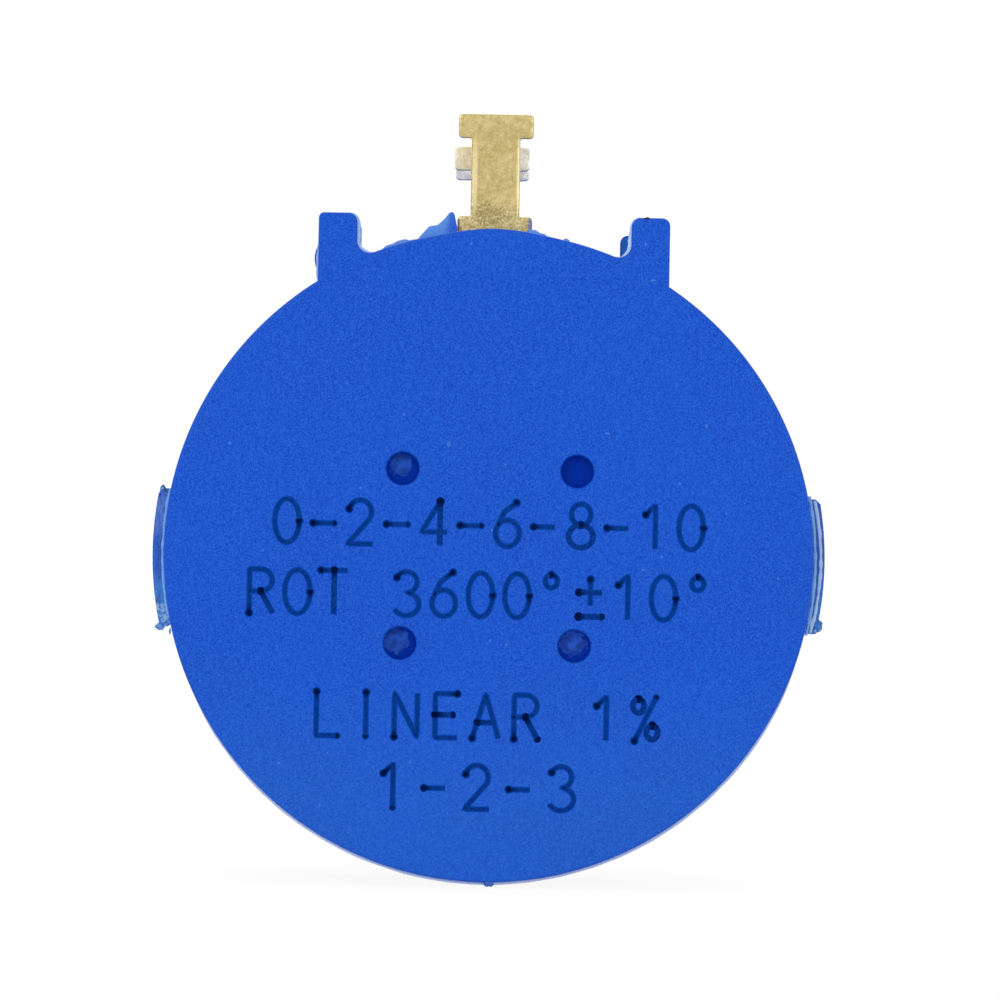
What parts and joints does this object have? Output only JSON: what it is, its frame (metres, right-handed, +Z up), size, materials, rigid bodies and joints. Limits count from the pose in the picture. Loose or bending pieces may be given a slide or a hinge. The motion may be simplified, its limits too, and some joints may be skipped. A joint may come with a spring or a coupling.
{
  "type": "multiturn potentiometer",
  "caption": "Round panel-mount wirewound potentiometer with a threaded bushing, slotted shaft, helical element and solder lugs in a line between two guard ribs.",
  "frame": {"origin": "on the shaft's axis at the mounting surface, which is the lid's front face", "axes": "+Y along the shaft from the rear face to the shaft's tip, +Z up through the solder terminals, +X to the right seen from the rear"},
  "size_m": [0.023, 0.0397, 0.0263],
  "materials": {
    "housing_plastic": "moulded, fine matte texture, royal blue",
    "nickel_plate": "nickel-plated brass, satin",
    "shaft_steel": "turned stainless steel",
    "spring_steel": "spring steel, oiled",
    "bare_brass": "stamped brass, lightly tarnished",
    "tinned_brass": "tin-plated brass, satin",
    "contact_alloy": "palladium-silver spring alloy",
    "resistance_wire": "fine resistance wire wound on a mandrel",
    "rotor_plastic": "glass-filled moulding, black",
    "carriage_plastic": "low-friction moulding, off-white"
  },
  "bodies": {
    "housing": {"rear_housing": "housing_plastic", "front_lid": "housing_plastic", "bushing": "nickel_plate", "resistance_element": "resistance_wire", "ccw_terminal": "tinned_brass", "cw_terminal": "tinned_brass", "wiper_terminal": "bare_brass", "ccw_end_clip": "nickel_plate", "cw_end_clip": "nickel_plate", "slip_ring": "bare_brass"},
    "rotor": {"shaft": "shaft_steel", "rotor_drum": "rotor_plastic", "retaining_ring": "spring_steel", "thrust_washer": "bare_brass", "collector_rail": "bare_brass", "ring_brush": "contact_alloy"},
    "carriage": {"wiper_carriage": "carriage_plastic", "coil_contact": "contact_alloy", "rail_brush": "contact_alloy"}
  },
  "joints": [
    {"name": "shaft_turn", "type": "hinge", "parent": "housing", "child": "rotor", "pos_m": [0, 0, 0], "axis": [0, -1, 0], "range_deg": [0, 3600]},
    {"name": "carriage_travel", "type": "slide", "parent": "rotor", "child": "carriage", "axis": [0, -1, 0], "range_m": [0, 0.012]}
  ],
  "couplings": [
    {"joint": "carriage_travel", "follows": "shaft_turn", "m_per_rad": 0.00019099}
  ]
}
